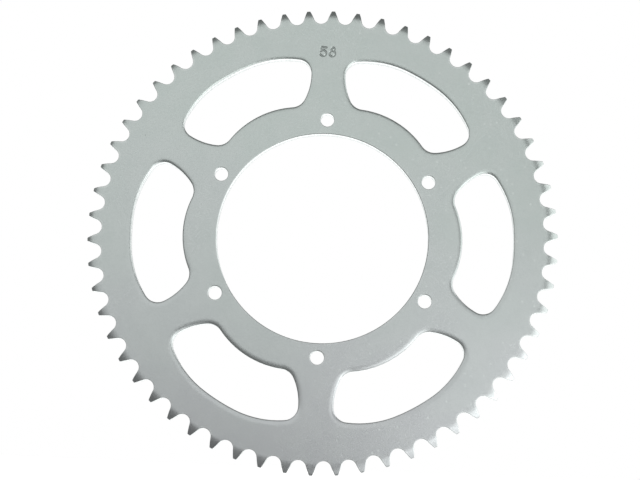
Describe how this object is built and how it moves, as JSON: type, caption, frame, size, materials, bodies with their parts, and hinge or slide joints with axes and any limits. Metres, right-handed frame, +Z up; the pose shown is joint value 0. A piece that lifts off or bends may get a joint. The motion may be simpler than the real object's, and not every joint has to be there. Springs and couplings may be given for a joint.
{
  "type": "rear sprocket",
  "caption": "Flat toothed steel ring for a motorcycle's rear wheel, driven by a roller chain and bolted to the hub through its inner ring, with lightening windows.",
  "frame": {"origin": "centre of the hub bore, halfway through the plate", "axes": "+Y along the wheel's axle, from the marked outer face to the hub face; +Z up through the first bolt hole and the tooth-count mark; +X to the right as the marked face is seen"},
  "size_m": [0.2412, 0.0058, 0.2414],
  "materials": {
    "zinc_plated_steel": "satin, fine matt grain, slightly green-grey zinc plating"
  },
  "bodies": {
    "root": {"sprocket_plate": "zinc_plated_steel"}
  },
  "joints": []
}
